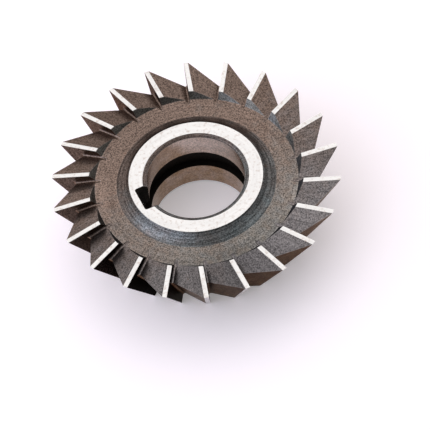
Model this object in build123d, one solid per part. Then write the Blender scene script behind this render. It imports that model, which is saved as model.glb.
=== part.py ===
"""Single-angle milling cutter of high-speed steel, one solid, 75 mm over the teeth.

The axis is Z, with the large end and its face teeth up. Z = 0 is the ground hub
face at the small end, and the keyway points along -X.
"""
from build123d import *
import math
import os

os.makedirs("parts", exist_ok=True)

# Driving dimensions, in millimetres and degrees
CUTTER_DIAMETER = 75.0
CUTTER_WIDTH = 20.0
FLANK_ANGLE = 60.0
TOOTH_COUNT = 22
TOOTH_PHASE = 8.77
FACE_SET_BACK = 0.3
SMALL_END_SET_BACK = 0.15

BORE_DIAMETER = 25.4
BORE_MOUTH_WIDTH = 1.1
BORE_MOUTH_DEPTH = 0.5
BORE_RELIEF_LENGTH = 6.0
BORE_RELIEF_DEPTH = 1.5

KEYWAY_WIDTH = 6.35
KEYWAY_FLOOR_TO_FAR_WALL = 28.04
KEYWAY_CORNER_RADIUS = 0.6
KEYWAY_EDGE_BREAK = 0.45

HUB_DIAMETER = 35.3
HUB_EDGE_BREAK = 0.25
HUB_COVE_WIDTH = 3.1
HUB_COVE_RADIUS = 12.0
WEB_DEPTH = 2.0
WEB_OUTER_DIAMETER = 52.8
TOOTH_INNER_WALL_ANGLE = 49.0

RAKE_ANGLE = 3.5
RAKE_LEAN_ANGLE = 1.2
LAND_WIDTH = 1.2
LAND_RELIEF_ANGLE = 4.0
FACE_BACK_ANGLE = 18.5
FLANK_BACK_ANGLE = 38.0
GASH_ROOT_RADIUS = 0.5
FACE_GASH_END_DIAMETER = 50.4
GRINDING_STOCK = 0.2

# Sizes that follow from the driving dimensions
TIP_RADIUS = CUTTER_DIAMETER / 2
BORE_RADIUS = BORE_DIAMETER / 2
HUB_RADIUS = HUB_DIAMETER / 2
WEB_INNER_RADIUS = HUB_RADIUS + HUB_COVE_WIDTH
WEB_OUTER_RADIUS = WEB_OUTER_DIAMETER / 2
WEB_Z = CUTTER_WIDTH - WEB_DEPTH
TOOTH_FACE_Z = CUTTER_WIDTH - FACE_SET_BACK
PITCH = 360 / TOOTH_COUNT
FLANK_SLOPE = math.tan(math.radians(FLANK_ANGLE))
FLANK_STOCK = GRINDING_STOCK / math.sin(math.radians(FLANK_ANGLE))

# At the large end the rake face passes this far behind the axis. Towards the small end it leans
# to the tooth ahead.
RAKE_OFFSET = TIP_RADIUS * math.sin(math.radians(RAKE_ANGLE))
TIP_REACH = TIP_RADIUS * math.cos(math.radians(RAKE_ANGLE))

# A face gash stops on the web, where its root comes this near to the axis
GASH_END_RADIUS = FACE_GASH_END_DIAMETER / 2
GASH_END_ANGLE = math.radians(PITCH) + math.asin(RAKE_OFFSET / GASH_END_RADIUS)
FACE_GASH_LENGTH = TIP_REACH - GASH_END_RADIUS * math.cos(GASH_END_ANGLE)

# Room by which a cutting body runs past the steel that it cuts
OVERRUN = 3.0
EDGE_OVERRUN = 1.0


def turned_blank():
    """The lathe-turned body: bore, hubs, sunk web and a plain cone, with stock on the lands."""
    stock_z = TOOTH_FACE_Z + GRINDING_STOCK
    stock_radius = TIP_RADIUS + FLANK_STOCK + GRINDING_STOCK / FLANK_SLOPE
    small_end_radius = stock_radius - (stock_z - SMALL_END_SET_BACK) / FLANK_SLOPE
    wall_run = (stock_z - WEB_Z) / math.tan(math.radians(TOOTH_INNER_WALL_ANGLE))
    mouth_radius = BORE_RADIUS + BORE_MOUTH_WIDTH
    relief_radius = BORE_RADIUS + BORE_RELIEF_DEPTH
    relief_bottom = (CUTTER_WIDTH - BORE_RELIEF_LENGTH) / 2
    relief_top = relief_bottom + BORE_RELIEF_LENGTH

    outside = Polyline(
        (mouth_radius, 0),
        (HUB_RADIUS, 0),
        (HUB_RADIUS, SMALL_END_SET_BACK),
        (small_end_radius, SMALL_END_SET_BACK),
        (stock_radius, stock_z),
        (WEB_OUTER_RADIUS + wall_run, stock_z),
        (WEB_OUTER_RADIUS, WEB_Z),
        (WEB_INNER_RADIUS, WEB_Z),
    )
    cove_top = (HUB_RADIUS, CUTTER_WIDTH - HUB_EDGE_BREAK)
    cove = RadiusArc((WEB_INNER_RADIUS, WEB_Z), cove_top, HUB_COVE_RADIUS)
    bore = Polyline(
        cove_top,
        (HUB_RADIUS - HUB_EDGE_BREAK, CUTTER_WIDTH),
        (mouth_radius, CUTTER_WIDTH),
        (BORE_RADIUS, CUTTER_WIDTH - BORE_MOUTH_DEPTH),
        (BORE_RADIUS, relief_top),
        (relief_radius, relief_top),
        (relief_radius, relief_bottom),
        (BORE_RADIUS, relief_bottom),
        (BORE_RADIUS, BORE_MOUTH_DEPTH),
        (mouth_radius, 0),
    )
    section = make_face(outside.edges() + cove.edges() + bore.edges())
    return revolve(Plane.XZ * section, Axis.Z)


def keyway_section(growth):
    """The keyway's outline along -X from the axis, larger all round by growth."""
    floor_x = KEYWAY_FLOOR_TO_FAR_WALL - BORE_RADIUS + growth
    width = KEYWAY_WIDTH + 2 * growth
    section = Pos(-floor_x / 2, 0) * Rectangle(floor_x, width)
    floor_corners = section.vertices().group_by(Axis.X)[0]
    return fillet(floor_corners, KEYWAY_CORNER_RADIUS)


def keyway_cut():
    """The keyway through the bore, with its edges broken at both hub faces."""
    slot = Pos(0, 0, -OVERRUN) * extrude(keyway_section(0), CUTTER_WIDTH + 2 * OVERRUN)
    break_z = CUTTER_WIDTH - KEYWAY_EDGE_BREAK
    upper_break = loft([
        Pos(0, 0, break_z) * keyway_section(0),
        Pos(0, 0, CUTTER_WIDTH) * keyway_section(KEYWAY_EDGE_BREAK),
    ])
    lower_break = mirror(upper_break, Plane.XY.offset(CUTTER_WIDTH / 2))
    return slot + upper_break + lower_break


def gash(along, outward, back_angle, length):
    """One gash: it grinds the land of the tooth ahead, falls away behind it and ends at a rake face.

    Along runs from the tooth's tip down its cutting edge, and outward stands square on it. The land
    falls away clockwise, square to both.
    """
    tip = Vector(TIP_REACH, -RAKE_OFFSET, TOOTH_FACE_Z)
    clockwise = (Vector(0, -1, 0) + along * along.Y).normalized()
    relief = math.tan(math.radians(LAND_RELIEF_ANGLE))
    back = math.tan(math.radians(back_angle))
    back_run = 2 * math.pi * TIP_RADIUS / TOOTH_COUNT + OVERRUN
    land_drop = LAND_WIDTH * relief
    ceiling = GRINDING_STOCK + OVERRUN

    corners = [
        (-EDGE_OVERRUN, EDGE_OVERRUN * relief),
        (LAND_WIDTH, -land_drop),
        (LAND_WIDTH + back_run, -land_drop - back_run * back),
        (LAND_WIDTH + back_run, ceiling),
        (-EDGE_OVERRUN, ceiling),
    ]
    start = tip - along * OVERRUN
    outline = Polyline([start + clockwise * across + outward * rise for across, rise in corners], close=True)
    body = extrude(make_face(outline.edges()), amount=length + OVERRUN, dir=along)

    rake_side = Box(
        4 * TIP_RADIUS, 4 * TIP_RADIUS, 4 * CUTTER_WIDTH,
        align=(Align.CENTER, Align.MIN, Align.CENTER),
    )
    leaning = Pos(0, -RAKE_OFFSET, TOOTH_FACE_Z) * Rot(RAKE_LEAN_ANGLE, 0, 0) * rake_side
    body = body & (Rot(0, 0, -PITCH) * leaning)
    return fillet(root_edge(body), GASH_ROOT_RADIUS)


def root_edge(body):
    """The edge of a gash body where its back and its rake plane meet."""
    rake_normal = Vector(0, 1, 0).rotate(Axis.X, RAKE_LEAN_ANGLE).rotate(Axis.Z, -PITCH)
    rake_face = body.faces().sort_by(lambda face: face.center().dot(rake_normal))[0]
    return rake_face.edges().sort_by(lambda edge: edge.center().dot(Vector(1, 0, 1)))[0]


def tooth_gashes():
    """The face gash and the flank gash behind every tooth."""
    angle = math.radians(FLANK_ANGLE)
    sideways = math.sin(angle) * math.tan(math.radians(RAKE_LEAN_ANGLE))
    inward = Vector(-1, 0, 0)
    up = Vector(0, 0, 1)
    down_flank = Vector(-math.cos(angle), sideways, -math.sin(angle)).normalized()
    off_flank = Vector(math.sin(angle), 0, -math.cos(angle))
    flank_length = TOOTH_FACE_Z / math.sin(angle) + OVERRUN
    face_gash = gash(inward, up, FACE_BACK_ANGLE, FACE_GASH_LENGTH)
    flank_gash = gash(down_flank, off_flank, FLANK_BACK_ANGLE, flank_length)
    turns = [TOOTH_PHASE + index * PITCH for index in range(TOOTH_COUNT)]
    return [Rot(0, 0, turn) * body for turn in turns for body in (face_gash, flank_gash)]


def cutter():
    """The finished cutter, one solid."""
    body = turned_blank() - keyway_cut()
    for gash_body in tooth_gashes():
        body = body - gash_body
    return body


export_step(cutter(), "parts/milling_cutter.step")
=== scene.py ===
import math
import bmesh
import bpy
from mathutils import Matrix, Vector, geometry


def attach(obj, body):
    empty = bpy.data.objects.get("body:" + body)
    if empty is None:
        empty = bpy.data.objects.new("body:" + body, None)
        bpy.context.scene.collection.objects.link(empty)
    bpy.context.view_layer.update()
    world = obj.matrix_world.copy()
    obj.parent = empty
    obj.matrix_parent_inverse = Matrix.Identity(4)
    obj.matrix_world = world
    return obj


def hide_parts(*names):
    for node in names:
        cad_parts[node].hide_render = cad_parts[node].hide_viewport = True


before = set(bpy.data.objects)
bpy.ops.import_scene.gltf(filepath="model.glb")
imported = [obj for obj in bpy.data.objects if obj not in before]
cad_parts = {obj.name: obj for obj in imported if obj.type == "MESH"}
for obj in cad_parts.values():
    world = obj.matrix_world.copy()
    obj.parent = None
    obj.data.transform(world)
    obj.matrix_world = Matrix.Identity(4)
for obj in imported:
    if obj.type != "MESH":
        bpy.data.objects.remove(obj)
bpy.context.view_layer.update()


# Camera
# A long lens looks down on the large end from in front. Its place and turn come
# from a camera fitted to the tooth tips and the hub's edges in the photograph.
camera = bpy.data.objects.new("camera", bpy.data.cameras.new("camera"))
bpy.context.scene.collection.objects.link(camera)
camera.location = (-0.14196, -0.46373, 0.68749)
camera.rotation_euler = [math.radians(turn) for turn in (34.9519, 5.0007, -24.5323)]
camera.data.sensor_width = 36.0
camera.data.lens = 268.3
camera.data.clip_start = 0.05
camera.data.clip_end = 20.0
bpy.context.scene.camera = camera


# Cutter
# One piece of high-speed steel. A blank is turned with its bore, hubs and sunk web, the
# keyway is broached, and a face gash and a flank gash are milled behind each tooth. Then
# it is hardened, steam tempered dark, and ground bright on the hub faces and tooth lands.

# One millimetre in metres. The sizes below are in millimetres.
MM = 0.001

# Teeth, with their tips at the large end
TEETH = 22
PITCH = 2 * math.pi / TEETH
FIRST_TOOTH = math.radians(8.77)
TIP_RADIUS = 37.5
WIDTH = 20.0
TOOTH_TOP = 19.7
TOOTH_FOOT = 0.15
FLANK_ANGLE = math.radians(60)

# Bore, with a relief in the middle and a chamfer at each mouth
BORE_RADIUS = 12.7
MOUTH_RADIUS = 13.8
MOUTH_DEPTH = 0.5
RELIEF_RADIUS = 14.2
RELIEF_LENGTH = 6.0

# Hub, the cove round it, the sunk web and the wall up to the teeth
HUB_RADIUS = 17.65
HUB_BREAK = 0.25
COVE_FOOT_RADIUS = 20.75
COVE_CURVE = 12.0
WEB_Z = 18.0
WEB_RADIUS = 26.4
INNER_WALL_ANGLE = math.radians(49)

# Keyway, its floor measured from the axis
KEYWAY_HALF_WIDTH = 3.175
KEYWAY_FLOOR = 15.34
KEYWAY_CORNER = 0.6
KEYWAY_BREAK = 0.45

# Gashes, and the lands ground beside them out of the stock left on the blank. A rake face passes
# behind the axis by the offset, and the land's relief and the backs are slopes.
RAKE_ANGLE = math.radians(3.5)
RAKE_LEAN = math.radians(1.2)
RAKE_OFFSET = TIP_RADIUS * math.sin(RAKE_ANGLE)
TIP_REACH = TIP_RADIUS * math.cos(RAKE_ANGLE)
LAND_WIDTH = 1.2
LAND_RELIEF = math.tan(math.radians(4))
FACE_BACK = math.tan(math.radians(18.5))
FLANK_BACK = math.tan(math.radians(38))
GASH_ROOT = 0.5
GASH_END_RADIUS = 25.2
FLANK_GASH_LENGTH = 25.7
STOCK = 0.2

# How far a tool runs past the steel, how finely each round is drawn, the angle from which an edge
# stays sharp and the gap that is welded shut
OVERRUN = 3.0
EDGE_OVERRUN = 1.0
STEPS_PER_TOOTH = 32
COVE_STEPS = 16
CORNER_STEPS = 8
ROOT_STEPS = 24
CREASE = math.radians(8)
WELD = 0.0005 * MM

# What each cut leaves behind: oxide in six shades, then ground, honed and scaled steel, the last
# near black partly as painted shade. They are whole numbers, and a shader takes two less than
# SAME_FINISH apart as the same.
MILLED, FLANKED, RAKED, TURNED, WALLED, BLUED, GROUND, HONED, SCALED_AND_SHADED = range(9)
SAME_FINISH = 0.4


def finished_mesh(name, verts, faces, marks, finishes):
    """A mesh in metres with its tool-mark coordinates in millimetres and each face's finish."""
    mesh = bpy.data.meshes.new(name)
    mesh.from_pydata([Vector(vert) * MM for vert in verts], [], faces)
    uv = mesh.uv_layers.new(name="UVMap")
    uv.data.foreach_set("uv", [number for face in marks for corner in face for number in corner])
    finish = mesh.attributes.new("finish", "INT", "FACE")
    finish.data.foreach_set("value", finishes)
    return mesh


def turned_profile():
    """Corners of the blank's section: radius, height and the finish of the stretch that follows."""
    slope = math.tan(FLANK_ANGLE)
    stock_z = TOOTH_TOP + STOCK
    stock_radius = TIP_RADIUS + STOCK / math.sin(FLANK_ANGLE) + STOCK / slope
    wall_run = (stock_z - WEB_Z) / math.tan(INNER_WALL_ANGLE)
    relief_foot = (WIDTH - RELIEF_LENGTH) / 2
    relief_head = relief_foot + RELIEF_LENGTH

    # The cove is an arc from the web up to the hub's edge
    cove_foot = Vector((COVE_FOOT_RADIUS, WEB_Z))
    cove_head = Vector((HUB_RADIUS, WIDTH - HUB_BREAK))
    half = (cove_head - cove_foot) / 2
    lift = Vector((half.y, -half.x)).normalized() * math.sqrt(COVE_CURVE**2 - half.length_squared)
    centre = cove_foot + half + lift
    first_arm, last_arm = cove_foot - centre, cove_head - centre
    sweep = first_arm.angle_signed(last_arm)
    cove = []
    for step in range(COVE_STEPS + 1):
        point = centre + Matrix.Rotation(-sweep * step / COVE_STEPS, 2) @ first_arm
        cove.append((point.x, point.y, BLUED))

    return [
        (MOUTH_RADIUS, 0, GROUND),
        (HUB_RADIUS, 0, TURNED),
        (HUB_RADIUS, TOOTH_FOOT, TURNED),
        (stock_radius - (stock_z - TOOTH_FOOT) / slope, TOOTH_FOOT, TURNED),
        (stock_radius, stock_z, TURNED),
        (WEB_RADIUS + wall_run, stock_z, WALLED),
        (WEB_RADIUS, WEB_Z, TURNED),
        *cove,
        (HUB_RADIUS - HUB_BREAK, WIDTH, GROUND),
        (MOUTH_RADIUS, WIDTH, BLUED),
        (BORE_RADIUS, WIDTH - MOUTH_DEPTH, HONED),
        (BORE_RADIUS, relief_head, SCALED_AND_SHADED),
        (RELIEF_RADIUS, relief_head, SCALED_AND_SHADED),
        (RELIEF_RADIUS, relief_foot, SCALED_AND_SHADED),
        (BORE_RADIUS, relief_foot, HONED),
        (BORE_RADIUS, MOUTH_DEPTH, TURNED),
    ]


def turned_blank():
    """The section spun about the bore's axis, closed on itself."""
    segments = TEETH * STEPS_PER_TOOTH
    profile = turned_profile()
    count = len(profile)
    reach = [0.0]
    for corner in range(count):
        here, there = Vector(profile[corner][:2]), Vector(profile[(corner + 1) % count][:2])
        reach.append(reach[-1] + (there - here).length)
    verts, faces, marks, finishes = [], [], [], []
    for step in range(segments):
        angle = 2 * math.pi * step / segments
        verts += [(r * math.cos(angle), r * math.sin(angle), z) for r, z, finish in profile]
        base, ahead = step * count, (step + 1) % segments * count
        start, stop = angle * TIP_RADIUS, (angle + 2 * math.pi / segments) * TIP_RADIUS
        for corner in range(count):
            after = (corner + 1) % count
            low, high = reach[corner], reach[corner + 1]
            faces.append((base + corner, ahead + corner, ahead + after, base + after))
            marks.append(((start, low), (stop, low), (stop, high), (start, high)))
            finishes.append(profile[corner][2])
    return finished_mesh("blank", verts, faces, marks, finishes)


def prism(name, loops, finishes):
    """A closed tool from loops of points, its sides finished as listed and its ends scaled."""
    count = len(loops[0])
    around = [0.0]
    for side in range(count):
        here, there = Vector(loops[0][side]), Vector(loops[0][(side + 1) % count])
        around.append(around[-1] + (there - here).length)
    verts = [vert for loop in loops for vert in loop]
    last = len(verts) - count
    faces = [tuple(reversed(range(count))), tuple(range(last, last + count))]
    marks = [[(0, 0)] * count, [(0, 0)] * count]
    listed = [SCALED_AND_SHADED, SCALED_AND_SHADED]
    depth = 0.0
    for level in range(len(loops) - 1):
        base = level * count
        deeper = depth + (Vector(loops[level + 1][0]) - Vector(loops[level][0])).length
        for side in range(count):
            after = (side + 1) % count
            near, far = around[side], around[side + 1]
            faces.append((base + side, base + after, base + count + after, base + count + side))
            marks.append(((depth, near), (depth, far), (deeper, far), (deeper, near)))
            listed.append(finishes[side])
        depth = deeper
    tool = bpy.data.objects.new(name, finished_mesh(name, verts, faces, marks, listed))
    shape = bmesh.new()
    shape.from_mesh(tool.data)
    bmesh.ops.recalc_face_normals(shape, faces=shape.faces)
    shape.to_mesh(tool.data)
    shape.free()
    bpy.context.scene.collection.objects.link(tool)
    return tool


def broach():
    """The keyway's tool: a slot with rounded floor corners that widens at both hub faces."""
    levels = (
        (-OVERRUN, KEYWAY_BREAK), (0, KEYWAY_BREAK), (KEYWAY_BREAK, 0),
        (WIDTH - KEYWAY_BREAK, 0), (WIDTH, KEYWAY_BREAK), (WIDTH + OVERRUN, KEYWAY_BREAK),
    )
    loops = []
    for z, growth in levels:
        floor = -KEYWAY_FLOOR - growth
        half = KEYWAY_HALF_WIDTH + growth
        loop = [(0, -half, z), (0, half, z)]
        for corner, start in ((half - KEYWAY_CORNER, 90), (KEYWAY_CORNER - half, 180)):
            for step in range(CORNER_STEPS + 1):
                angle = math.radians(start + step * 90 / CORNER_STEPS)
                x = floor + KEYWAY_CORNER + KEYWAY_CORNER * math.cos(angle)
                loop.append((x, corner + KEYWAY_CORNER * math.sin(angle), z))
        loops.append(loop)
    return prism("broach", loops, [SCALED_AND_SHADED] * len(loops[0]))


def gash_tool(name, along, outward, back, length, finish):
    """What one pass of the gashing cutter and the land's grinding take away.

    Its long edges are rails, lines that run from a start plane to an end plane.
    """
    clockwise = (Vector((0, -1, 0)) + along * along.y).normalized()
    tip = Vector((TIP_REACH, -RAKE_OFFSET, TOOTH_TOP))
    next_tooth = Matrix.Rotation(-PITCH, 3, "Z")
    rake_normal = next_tooth @ Vector((0, math.cos(RAKE_LEAN), math.sin(RAKE_LEAN)))
    rake_point = next_tooth @ tip
    land_back = tip + clockwise * LAND_WIDTH - outward * LAND_WIDTH * LAND_RELIEF
    back_normal = (outward + clockwise * back).normalized()

    # The root's round rolls between the back and the next tooth's rake face
    root, root_line = geometry.intersect_plane_plane(
        land_back, back_normal, rake_point, rake_normal)
    half_corner = (math.pi - back_normal.angle(rake_normal)) / 2
    centre = root + (back_normal + rake_normal).normalized() * GASH_ROOT / math.sin(half_corner)
    round_rails = []
    for step in range(ROOT_STEPS + 1):
        radial = back_normal.slerp(rake_normal, step / ROOT_STEPS)
        round_rails.append((centre - radial * GASH_ROOT, root_line))

    # The tool stands clear of the steel above the land and ahead of the cutting edge
    ceiling = outward * (STOCK + OVERRUN)
    ahead = tip - clockwise * EDGE_OVERRUN
    roof, roof_line = geometry.intersect_plane_plane(
        tip + ceiling, outward, rake_point, rake_normal)
    rails = [
        (ahead + outward * EDGE_OVERRUN * LAND_RELIEF, along),
        (land_back, along),
        *round_rails,
        (roof, roof_line),
        (ahead + ceiling, along),
    ]
    loops = []
    for run in (-OVERRUN, length):
        stop = tip + along * run
        loops.append([geometry.intersect_line_plane(point, point + line, stop, along)
                      for point, line in rails])
    return prism(name, loops, [GROUND] + [finish] * (ROOT_STEPS + 1) + [RAKED, finish, finish])


def node(tree, kind, settings=None, **links):
    """Add a node, set its properties, and link or set its inputs by name or, as i0, by place."""
    new = tree.nodes.new(kind)
    for key, value in (settings or {}).items():
        setattr(new, key, value)
    for key, value in links.items():
        by_place = key[1:].isdigit()
        socket = new.inputs[int(key[1:])] if by_place else new.inputs[key.replace("_", " ")]
        for source in value if isinstance(value, list) else [value]:
            if isinstance(source, bpy.types.NodeSocket):
                tree.links.new(source, socket)
            else:
                socket.default_value = source
    return new


def linear(code):
    """An sRGB hex colour as Blender's linear values."""
    parts = [int(code[i:i + 2], 16) / 255 for i in (0, 2, 4)]
    red, green, blue = [part / 12.92 if part <= 0.04045 else ((part + 0.055) / 1.055)**2.4
                        for part in parts]
    return red, green, blue, 1.0


def new_material(name):
    """A new material with its node tree and its shader."""
    material = bpy.data.materials.new(name)
    material.use_nodes = True
    return material, material.node_tree, material.node_tree.nodes["Principled BSDF"]


# Steam-tempered high-speed steel, milled or turned before it was hardened. The steam leaves a thin
# iron oxide, brown where it is thinnest and grey where it is thicker, with a fine dark speckle
# and a few rust spots. The tool's marks show through it and the edges are rubbed lighter. Shade is
# painted into it towards the small end and on the rake faces in front, and a highlight in the
# inside corners.

# Each pattern is counted per millimetre and each side is an angle round the axis. The greying run
# is how far across the cutter the film takes to grow from none to full.
DRIFTS_PER_MM = 0.06
PATCHES_PER_MM = 0.45
PATCH_GAIN = 0.9
PATCH_LEVEL = -0.6
GREYER_SIDE = math.radians(278)
GREYING_RUN = 42.0
SPECKLES_PER_MM = 2.6
SPOTS_PER_MM = 0.24
MARKS_PER_MM = 1.6
STRAYS_PER_MM = 0.07
FAR_SIDE = math.radians(72)
RINGS_PER_MM = 2.6
RING_START = 5.3
RUB_WIDTH = 0.16 * MM
MARK_DEPTH = 0.04 * MM
oxide, tree, bsdf = new_material("steam-tempered high-speed steel")
place = node(tree, "ShaderNodeTexCoord")
mm = node(tree, "ShaderNodeVectorMath", {"operation": "SCALE"},
          Vector=place.outputs["Object"], Scale=1 / MM).outputs[0]
mark = node(tree, "ShaderNodeSeparateXYZ", Vector=place.outputs["UV"]).outputs["Y"]

# The film turns from brown to grey across the cutter towards one side. It changes in patches a few
# millimetres wide, some of them a little more olive than the others.
drift = node(tree, "ShaderNodeTexNoise", Vector=mm, Scale=DRIFTS_PER_MM, Detail=3)
grown = node(tree, "ShaderNodeVectorMath", {"operation": "DOT_PRODUCT"},
             i0=mm, i1=(math.cos(GREYER_SIDE) / GREYING_RUN, math.sin(GREYER_SIDE) / GREYING_RUN, 0))
patch = node(tree, "ShaderNodeTexNoise", Vector=mm, Scale=PATCHES_PER_MM, Detail=2, Roughness=0.5)
patchy = node(tree, "ShaderNodeMath", {"operation": "MULTIPLY_ADD"},
              i0=patch.outputs["Fac"], i1=PATCH_GAIN, i2=PATCH_LEVEL)
spread = node(tree, "ShaderNodeMath", {"operation": "ADD"},
              i0=drift.outputs["Fac"], i1=patchy.outputs[0])
film = node(tree, "ShaderNodeMath", {"operation": "ADD", "use_clamp": True},
            i0=spread.outputs[0], i1=grown.outputs["Value"])
blot = node(tree, "ShaderNodeMapRange", Value=patch.outputs["Fac"],
            From_Min=0.35, From_Max=0.65, To_Min=0.0, To_Max=1.0)
grey = node(tree, "ShaderNodeMix", {"data_type": "RGBA"},
            i0=blot.outputs[0], i6=linear("6C6762"), i7=linear("6B6866"))
tint = node(tree, "ShaderNodeMix", {"data_type": "RGBA"},
            i0=film.outputs[0], i6=linear("6C5C54"), i7=grey.outputs[2])

# Painted shade: the oxide is darker brown towards the small end, less so further up
height = node(tree, "ShaderNodeSeparateXYZ", Vector=mm)
low = node(tree, "ShaderNodeMapRange", Value=height.outputs["Z"],
           From_Min=8.0, From_Max=WEB_Z, To_Min=1.0, To_Max=0.0)
tint = node(tree, "ShaderNodeMix", {"data_type": "RGBA"},
            i0=low.outputs[0], i6=tint.outputs[2], i7=linear("44352D"))

# Speckle a few tenths of a millimetre wide, and rust spots just under a millimetre wide
speckle = node(tree, "ShaderNodeTexNoise",
               Vector=mm, Scale=SPECKLES_PER_MM, Detail=3, Roughness=0.8)
fleck = node(tree, "ShaderNodeMapRange", Value=speckle.outputs["Fac"],
             From_Min=0.38, From_Max=0.62, To_Min=0.38, To_Max=1.62)
spots = node(tree, "ShaderNodeTexVoronoi", Vector=mm, Scale=SPOTS_PER_MM)
rust = node(tree, "ShaderNodeMapRange", Value=spots.outputs["Distance"],
            From_Min=0.03, From_Max=0.11, To_Min=0.5, To_Max=0.0)

# Marks along the cut over half a millimetre apart, coarser than the real ones so that they show.
# They stray a little on their way.
stray = node(tree, "ShaderNodeVectorMath", {"operation": "SCALE"}, Vector=mm, Scale=STRAYS_PER_MM)
across = node(tree, "ShaderNodeMath", {"operation": "MULTIPLY"}, i0=mark, i1=MARKS_PER_MM)
cut = node(tree, "ShaderNodeTexNoise", {"noise_dimensions": "4D"},
           Vector=stray.outputs[0], W=across.outputs[0], Scale=1.0, Detail=4, Roughness=0.65)
streak = node(tree, "ShaderNodeMapRange", Value=cut.outputs["Fac"],
              From_Min=0.35, From_Max=0.65, To_Min=0.8, To_Max=1.2)

# Each kind of cut has taken the oxide in its own shades
finish = node(tree, "ShaderNodeAttribute", {"attribute_name": "finish"})
cut_by = {}
for kind, level, thin, thick in (
        (MILLED, film, "6C5C54", "6C6767"), (WALLED, film, "696560", "676A71"),
        (BLUED, film, "60544F", "64696B"), (FLANKED, blot, "796051", "94806F"),
        (RAKED, film, "665850", "665C56")):
    match = node(tree, "ShaderNodeMath", {"operation": "COMPARE"},
                 i0=finish.outputs["Fac"], i1=kind, i2=SAME_FINISH)
    own = node(tree, "ShaderNodeMix", {"data_type": "RGBA"},
               i0=level.outputs[0], i6=linear(thin), i7=linear(thick))
    tint = node(tree, "ShaderNodeMix", {"data_type": "RGBA"},
                i0=match.outputs[0], i6=tint.outputs[2], i7=own.outputs[2])
    cut_by[kind] = match.outputs[0]

# Painted shade: the rake faces in front are painted darkest, and those behind are painted paler
# than the rest
behind = node(tree, "ShaderNodeVectorMath", {"operation": "DOT_PRODUCT"},
              i0=mm, i1=(math.cos(FAR_SIDE), math.sin(FAR_SIDE), 0))
rake_shade_ramp = node(tree, "ShaderNodeMapRange", Value=behind.outputs["Value"],
             From_Min=-20.0, From_Max=32.0, To_Min=0.2, To_Max=1.25)
painted_rake_shade = node(tree, "ShaderNodeMix", {"data_type": "FLOAT"},
              i0=cut_by[RAKED], i2=1.0, i3=rake_shade_ramp.outputs[0])
fleck = node(tree, "ShaderNodeMath", {"operation": "MULTIPLY"},
             i0=fleck.outputs[0], i1=painted_rake_shade.outputs[0])

# The form tool left rings in the cove, plainer than any other marks. They are drawn about a third
# of a millimetre wide, coarser than the real ones.
turned = node(tree, "ShaderNodeMath", {"operation": "MULTIPLY_ADD"},
              i0=mark, i1=RINGS_PER_MM, i2=RING_START)
ring = node(tree, "ShaderNodeTexNoise", {"noise_dimensions": "4D"},
            Vector=stray.outputs[0], W=turned.outputs[0], Scale=1.0, Detail=2, Roughness=0.5)
ringed = node(tree, "ShaderNodeMapRange", Value=ring.outputs["Fac"],
              From_Min=0.4, From_Max=0.6, To_Min=0.66, To_Max=1.34)
streak = node(tree, "ShaderNodeMix", {"data_type": "FLOAT"},
              i0=cut_by[BLUED], i2=streak.outputs[0], i3=ringed.outputs[0])
shade = node(tree, "ShaderNodeMath", {"operation": "MULTIPLY"},
             i0=fleck.outputs[0], i1=streak.outputs[0])

# The oxide is darker on the teeth in front and paler at two places on the rim
for x, y, strength in ((-3.0, -32.0, 0.68), (25.0, -22.5, 1.3), (-33.0, 10.0, 1.25)):
    away = node(tree, "ShaderNodeVectorMath", {"operation": "DISTANCE"}, i0=mm, i1=(x, y, WEB_Z))
    local_tone = node(tree, "ShaderNodeMapRange", Value=away.outputs["Value"],
                 From_Min=4.0, From_Max=15.0, To_Min=strength, To_Max=1.0)
    shade = node(tree, "ShaderNodeMath", {"operation": "MULTIPLY"},
                 i0=shade.outputs[0], i1=local_tone.outputs[0])

# Edges rubbed through to lighter steel over a tenth of a millimetre or two. The same lightening
# lies in the inside corners, such as the gash roots, as a painted highlight.
rounded = node(tree, "ShaderNodeBevel", {"samples": 6}, Radius=RUB_WIDTH)
facing = node(tree, "ShaderNodeNewGeometry")
turned_away = node(tree, "ShaderNodeVectorMath", {"operation": "DOT_PRODUCT"},
                   i0=rounded.outputs[0], i1=facing.outputs["Normal"])
rubbed_and_highlit = node(tree, "ShaderNodeMapRange", Value=turned_away.outputs["Value"],
              From_Min=0.99, From_Max=0.9, To_Min=0.0, To_Max=0.45)

# Colour from the shades, painted shade among them, the rust and the rubbed edges with their
# painted highlight, and height from the speckle and the marks
mottled = node(tree, "ShaderNodeVectorMath", {"operation": "SCALE"},
               Vector=tint.outputs[2], Scale=shade.outputs[0])
rusted = node(tree, "ShaderNodeMix", {"data_type": "RGBA"},
              i0=rust.outputs[0], i6=mottled.outputs[0], i7=linear("5E4236"))
worn_and_highlit = node(tree, "ShaderNodeMix", {"data_type": "RGBA"},
            i0=rubbed_and_highlit.outputs[0], i6=rusted.outputs[2], i7=linear("A8A3A2"))
tree.links.new(worn_and_highlit.outputs[2], bsdf.inputs["Base Color"])
bsdf.inputs["Metallic"].default_value = 0.95
bsdf.inputs["Specular Tint"].default_value = linear("8C8580")
gloss = node(tree, "ShaderNodeMapRange", Value=speckle.outputs["Fac"],
             From_Min=0.3, From_Max=0.7, To_Min=0.38, To_Max=0.26)
tree.links.new(gloss.outputs[0], bsdf.inputs["Roughness"])
uneven = node(tree, "ShaderNodeMath", {"operation": "ADD"},
              i0=speckle.outputs["Fac"], i1=cut.outputs["Fac"])
bump = node(tree, "ShaderNodeBump", Strength=0.35, Distance=MARK_DEPTH, Height=uneven.outputs[0])
tree.links.new(bump.outputs[0], bsdf.inputs["Normal"])
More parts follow.
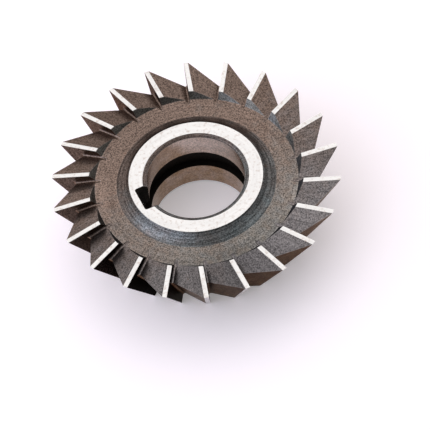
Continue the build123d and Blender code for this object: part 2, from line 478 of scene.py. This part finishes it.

# Black oxide scale, left inside the bore's relief and the keyway, which nothing touched after
# hardening. It is dull and crusted in grains of about a millimetre, and nearly black partly as
# painted shade deep in the relief and the keyway.
CRUSTS_PER_MM = 1.2
CRUST_DEPTH = 0.05 * MM
scale_and_shade, tree, bsdf = new_material("black oxide scale")
place = node(tree, "ShaderNodeTexCoord")
mm = node(tree, "ShaderNodeVectorMath", {"operation": "SCALE"},
          Vector=place.outputs["Object"], Scale=1 / MM).outputs[0]
crust = node(tree, "ShaderNodeTexNoise", Vector=mm, Scale=CRUSTS_PER_MM, Detail=4, Roughness=0.7)
black = node(tree, "ShaderNodeMix", {"data_type": "RGBA"},
             i0=crust.outputs["Fac"], i6=linear("161311"), i7=linear("2A2521"))
tree.links.new(black.outputs[2], bsdf.inputs["Base Color"])
bsdf.inputs["Metallic"].default_value = 0.6
bsdf.inputs["Specular Tint"].default_value = linear("504C49")
bsdf.inputs["Roughness"].default_value = 0.5
bump = node(tree, "ShaderNodeBump", Strength=0.4, Distance=CRUST_DEPTH, Height=crust.outputs["Fac"])
tree.links.new(bump.outputs[0], bsdf.inputs["Normal"])

# Ground high-speed steel, bright since the wheel took the oxide off. Lines run the way the wheel
# went, coarser than the real ones so that they show, and a few brown specks have come back since.
GRINDING_LINES_PER_MM = 2.5
GRINDING_STRAYS_PER_MM = 0.12
SPECKS_PER_MM = 1.1
GRINDING_DEPTH = 0.02 * MM
ground, tree, bsdf = new_material("ground high-speed steel")
place = node(tree, "ShaderNodeTexCoord")
mm = node(tree, "ShaderNodeVectorMath", {"operation": "SCALE"},
          Vector=place.outputs["Object"], Scale=1 / MM).outputs[0]
mark = node(tree, "ShaderNodeSeparateXYZ", Vector=place.outputs["UV"]).outputs["Y"]
stray = node(tree, "ShaderNodeVectorMath", {"operation": "SCALE"},
             Vector=mm, Scale=GRINDING_STRAYS_PER_MM)
across = node(tree, "ShaderNodeMath", {"operation": "MULTIPLY"},
              i0=mark, i1=GRINDING_LINES_PER_MM)
lines = node(tree, "ShaderNodeTexNoise", {"noise_dimensions": "4D"},
             Vector=stray.outputs[0], W=across.outputs[0], Scale=1.0, Detail=4, Roughness=0.6)
speck = node(tree, "ShaderNodeTexNoise", Vector=mm, Scale=SPECKS_PER_MM, Detail=3, Roughness=0.6)
dulled = node(tree, "ShaderNodeMapRange", Value=speck.outputs["Fac"],
              From_Min=0.52, From_Max=0.75, To_Min=0.0, To_Max=0.7)
bright = node(tree, "ShaderNodeMix", {"data_type": "RGBA"},
              i0=lines.outputs["Fac"], i6=linear("C6C3C2"), i7=linear("E0DEDD"))
specked = node(tree, "ShaderNodeMix", {"data_type": "RGBA"},
               i0=dulled.outputs[0], i6=bright.outputs[2], i7=linear("A8968C"))
tree.links.new(specked.outputs[2], bsdf.inputs["Base Color"])
bsdf.inputs["Metallic"].default_value = 1.0
gloss = node(tree, "ShaderNodeMapRange", Value=lines.outputs["Fac"],
             From_Min=0.3, From_Max=0.7, To_Min=0.42, To_Max=0.3)
tree.links.new(gloss.outputs[0], bsdf.inputs["Roughness"])
bump = node(tree, "ShaderNodeBump",
            Strength=0.2, Distance=GRINDING_DEPTH, Height=lines.outputs["Fac"])
tree.links.new(bump.outputs[0], bsdf.inputs["Normal"])

# Honed high-speed steel, a satin wall with lines round the bore, coarser than the real ones. Oil
# that dried on it left a straw tint in patches, and a highlight is painted on it, paler and greyer
# behind and near the top.
HONING_LINES_PER_MM = 1.8
HONING_STRAYS_PER_MM = 0.06
OIL_PATCHES_PER_MM = 0.3
GRAINS_PER_MM = 2.2
HIGHLIGHT_SIDE = math.radians(52)
HIGHLIGHT_RISE_PER_MM = 0.03
HONING_DEPTH = 0.03 * MM
honed, tree, bsdf = new_material("honed high-speed steel")
place = node(tree, "ShaderNodeTexCoord")
mm = node(tree, "ShaderNodeVectorMath", {"operation": "SCALE"},
          Vector=place.outputs["Object"], Scale=1 / MM).outputs[0]
mark = node(tree, "ShaderNodeSeparateXYZ", Vector=place.outputs["UV"]).outputs["Y"]
stray = node(tree, "ShaderNodeVectorMath", {"operation": "SCALE"},
             Vector=mm, Scale=HONING_STRAYS_PER_MM)
across = node(tree, "ShaderNodeMath", {"operation": "MULTIPLY"},
              i0=mark, i1=HONING_LINES_PER_MM)
lines = node(tree, "ShaderNodeTexNoise", {"noise_dimensions": "4D"},
             Vector=stray.outputs[0], W=across.outputs[0], Scale=1.0, Detail=4, Roughness=0.6)
oil = node(tree, "ShaderNodeTexNoise",
           Vector=mm, Scale=OIL_PATCHES_PER_MM, Detail=4, Roughness=0.65)
# Painted highlight: the wall is painted paler and greyer behind, more so higher up
highlight_x = math.cos(HIGHLIGHT_SIDE) / BORE_RADIUS
highlight_y = math.sin(HIGHLIGHT_SIDE) / BORE_RADIUS
toward_highlight = node(tree, "ShaderNodeVectorMath", {"operation": "DOT_PRODUCT"},
              i0=mm, i1=(highlight_x, highlight_y, HIGHLIGHT_RISE_PER_MM))
painted_highlight = node(tree, "ShaderNodeMapRange", Value=toward_highlight.outputs["Value"],
                From_Min=1.22, From_Max=1.5, To_Min=-0.25, To_Max=0.6)
oil_and_highlight = node(tree, "ShaderNodeMath", {"operation": "ADD", "use_clamp": True},
               i0=oil.outputs["Fac"], i1=painted_highlight.outputs[0])
straw_and_highlight = node(tree, "ShaderNodeMix", {"data_type": "RGBA"},
             i0=oil_and_highlight.outputs[0], i6=linear("8E7152"), i7=linear("CABBB4"))
streak = node(tree, "ShaderNodeMapRange", Value=lines.outputs["Fac"],
              From_Min=0.3, From_Max=0.7, To_Min=0.85, To_Max=1.12)
grain = node(tree, "ShaderNodeTexNoise", Vector=mm, Scale=GRAINS_PER_MM, Detail=3, Roughness=0.8)
fleck = node(tree, "ShaderNodeMapRange", Value=grain.outputs["Fac"],
             From_Min=0.38, From_Max=0.62, To_Min=0.7, To_Max=1.3)
shade = node(tree, "ShaderNodeMath", {"operation": "MULTIPLY"},
             i0=fleck.outputs[0], i1=streak.outputs[0])
lined = node(tree, "ShaderNodeVectorMath", {"operation": "SCALE"},
             Vector=straw_and_highlight.outputs[2], Scale=shade.outputs[0])
tree.links.new(lined.outputs[0], bsdf.inputs["Base Color"])
bsdf.inputs["Metallic"].default_value = 1.0
bsdf.inputs["Roughness"].default_value = 0.25
bump = node(tree, "ShaderNodeBump",
            Strength=0.2, Distance=HONING_DEPTH, Height=lines.outputs["Fac"])
tree.links.new(bump.outputs[0], bsdf.inputs["Normal"])


def milling_tree():
    """Node tree that takes the keyway and every gash out of a blank and finishes each cut face."""
    tree = bpy.data.node_groups.new("Mill the teeth", "GeometryNodeTree")
    for name, kind in (("Blank", "Geometry"), ("Broach", "Object"), ("Face gash", "Object"),
                       ("Flank gash", "Object"), ("Teeth", "Int"), ("First tooth", "Float")):
        tree.interface.new_socket(name, in_out="INPUT", socket_type="NodeSocket" + kind)
    tree.interface.new_socket("Cutter", in_out="OUTPUT", socket_type="NodeSocketGeometry")
    given = tree.nodes.new("NodeGroupInput").outputs

    # One station for each tooth, turned by its share of the circle from the first tooth
    stations = node(tree, "GeometryNodePoints", Count=given["Teeth"])
    index = node(tree, "GeometryNodeInputIndex")
    share = node(tree, "ShaderNodeMath", {"operation": "DIVIDE"}, i0=2 * math.pi, i1=given["Teeth"])
    turn = node(tree, "ShaderNodeMath", {"operation": "MULTIPLY_ADD"},
                i0=index.outputs[0], i1=share.outputs[0], i2=given["First tooth"])
    spin = node(tree, "ShaderNodeCombineXYZ", Z=turn.outputs[0])
    cuts = [node(tree, "GeometryNodeObjectInfo", Object=given["Broach"]).outputs["Geometry"]]
    for name in ("Face gash", "Flank gash"):
        tool = node(tree, "GeometryNodeObjectInfo", Object=given[name])
        row = node(tree, "GeometryNodeInstanceOnPoints", Points=stations.outputs[0],
                   Instance=tool.outputs["Geometry"], Rotation=spin.outputs[0])
        cuts.append(row.outputs[0])
    steel = node(tree, "GeometryNodeMeshBoolean", {"operation": "DIFFERENCE", "solver": "MANIFOLD"},
                 i0=given["Blank"], i1=cuts)

    # Corners less than a micrometre apart, left where three cuts meet, are one corner
    welded = node(tree, "GeometryNodeMergeByDistance", Geometry=steel.outputs[0], Distance=WELD)

    # Turned and rounded surfaces are shaded smooth, and edges of more than 8 degrees stay sharp
    smooth = node(tree, "GeometryNodeSetShadeSmooth", {"domain": "FACE"},
                  Geometry=welded.outputs[0])
    angle = node(tree, "GeometryNodeInputMeshEdgeAngle")
    sharp = node(tree, "FunctionNodeCompare", {"operation": "GREATER_THAN"},
                 i0=angle.outputs[0], i1=CREASE)
    creased = node(tree, "GeometryNodeSetShadeSmooth", {"domain": "EDGE"},
                   Geometry=smooth.outputs[0], Selection=sharp.outputs[0], Shade_Smooth=False)

    finish = node(tree, "GeometryNodeInputNamedAttribute", {"data_type": "INT"}, Name="finish")
    whole = node(tree, "GeometryNodeRealizeInstances", Geometry=creased.outputs[0])
    coated = node(tree, "GeometryNodeSetMaterial", Geometry=whole.outputs[0], Material=oxide)
    for kind, material in ((GROUND, ground), (HONED, honed), (SCALED_AND_SHADED, scale_and_shade)):
        match = node(tree, "FunctionNodeCompare", {"data_type": "INT", "operation": "EQUAL"},
                     i2=finish.outputs[0], i3=kind)
        coated = node(tree, "GeometryNodeSetMaterial", Geometry=coated.outputs[0],
                      Selection=match.outputs[0], Material=material)
    node(tree, "NodeGroupOutput", Cutter=coated.outputs[0])
    return tree


# A face gash runs from the tip in to the web, and a flank gash from the tip down past the small end
flank_cos, flank_sin = math.cos(FLANK_ANGLE), math.sin(FLANK_ANGLE)
inward = Vector((-1, 0, 0))
up = Vector((0, 0, 1))
down_flank = Vector((-flank_cos, flank_sin * math.tan(RAKE_LEAN), -flank_sin)).normalized()
off_flank = Vector((flank_sin, 0, -flank_cos))
gash_end_angle = PITCH + math.asin(RAKE_OFFSET / GASH_END_RADIUS)
face_gash_length = TIP_REACH - GASH_END_RADIUS * math.cos(gash_end_angle)
tools = {
    "Broach": broach(),
    "Face gash": gash_tool("face_gash", inward, up, FACE_BACK, face_gash_length, MILLED),
    "Flank gash": gash_tool("flank_gash", down_flank, off_flank, FLANK_BACK, FLANK_GASH_LENGTH,
                            FLANKED),
}
inputs = {**tools, "Teeth": TEETH, "First tooth": FIRST_TOOTH}
blank = bpy.data.objects.new("blank", turned_blank())
bpy.context.scene.collection.objects.link(blank)
milling = blank.modifiers.new("Mill the teeth", "NODES")
milling.node_group = milling_tree()
for socket in milling.node_group.interface.items_tree:
    if socket.name in inputs:
        milling[socket.identifier] = inputs[socket.name]
done = blank.evaluated_get(bpy.context.evaluated_depsgraph_get())
cutter = bpy.data.objects.new("cutter", bpy.data.meshes.new_from_object(done))
bpy.context.scene.collection.objects.link(cutter)
for spare in (blank, *tools.values()):
    bpy.data.objects.remove(spare)

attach(cutter, "root")
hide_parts("milling_cutter")


# Floor
# A sheet of white card that the cutter lies on. It shows white all round and keeps the
# soft shadow, and the steel mirrors the same white.
CARD_HALF_WIDTH = 3000.0 * MM
CARD_GLOW = 0.24
near, far = -CARD_HALF_WIDTH, CARD_HALF_WIDTH
corners = [(near, near, 0), (far, near, 0), (far, far, 0), (near, far, 0)]
floor_mesh = bpy.data.meshes.new("floor")
floor_mesh.from_pydata(corners, [], [(0, 1, 2, 3)])
floor = bpy.data.objects.new("floor", floor_mesh)
bpy.context.scene.collection.objects.link(floor)
card, tree, bsdf = new_material("white card")
bsdf.inputs["Base Color"].default_value = linear("F7ECF2")
bsdf.inputs["Roughness"].default_value = 0.9
bsdf.inputs["Emission Color"].default_value = linear("FFFFFF")

# It glows a little as the camera sees it and as the steel mirrors it
rays = node(tree, "ShaderNodeLightPath")
seen = node(tree, "ShaderNodeMath", {"operation": "ADD"},
            i0=rays.outputs["Is Camera Ray"], i1=rays.outputs["Is Glossy Ray"])
shown = node(tree, "ShaderNodeMath", {"operation": "ADD"},
             i0=seen.outputs[0], i1=rays.outputs["Is Transmission Ray"])
glow = node(tree, "ShaderNodeMath", {"operation": "MULTIPLY"}, i0=shown.outputs[0], i1=CARD_GLOW)
tree.links.new(glow.outputs[0], bsdf.inputs["Emission Strength"])
floor_mesh.materials.append(card)


# Light
# A broad soft lamp stands high behind the cutter and a stronger cool one, like a window, to its
# left. The room is palest behind and overhead and dark behind the camera.
LAMP_SIZE = 800 * MM
LAMP_DISTANCE = 800 * MM
ROOM_LEVEL = 0.42
ROOM_PALER_TOWARDS = (0.0, 0.52, 0.42)
for name, watts, azimuth, elevation, colour in (
        ("soft box", 1.15, 62, 61, "FFFCF9"),
        ("window", 3.0, 188, 38, "DCE8FF")):
    lamp = bpy.data.lights.new(name, "AREA")
    lamp.energy = watts
    lamp.size = LAMP_SIZE
    lamp.color = linear(colour)[:3]
    stand = bpy.data.objects.new(name, lamp)
    bpy.context.scene.collection.objects.link(stand)
    turn, tilt = math.radians(azimuth), math.radians(elevation)
    way = Vector((math.cos(turn) * math.cos(tilt), math.sin(turn) * math.cos(tilt), math.sin(tilt)))
    stand.location = way * LAMP_DISTANCE
    stand.rotation_euler = (-stand.location).to_track_quat("-Z", "Y").to_euler()
world = bpy.data.worlds.new("room")
world.use_nodes = True
tree = world.node_tree
looking = node(tree, "ShaderNodeTexCoord")
paler = node(tree, "ShaderNodeVectorMath", {"operation": "DOT_PRODUCT"},
             i0=looking.outputs["Generated"], i1=ROOM_PALER_TOWARDS)
level = node(tree, "ShaderNodeMath", {"operation": "ADD", "use_clamp": True},
             i0=paler.outputs["Value"], i1=ROOM_LEVEL)
tree.links.new(level.outputs[0], tree.nodes["Background"].inputs["Strength"])
tree.nodes["Background"].inputs["Color"].default_value = linear("FFFFFF")
bpy.context.scene.world = world
bpy.context.scene.view_settings.view_transform = "Standard"
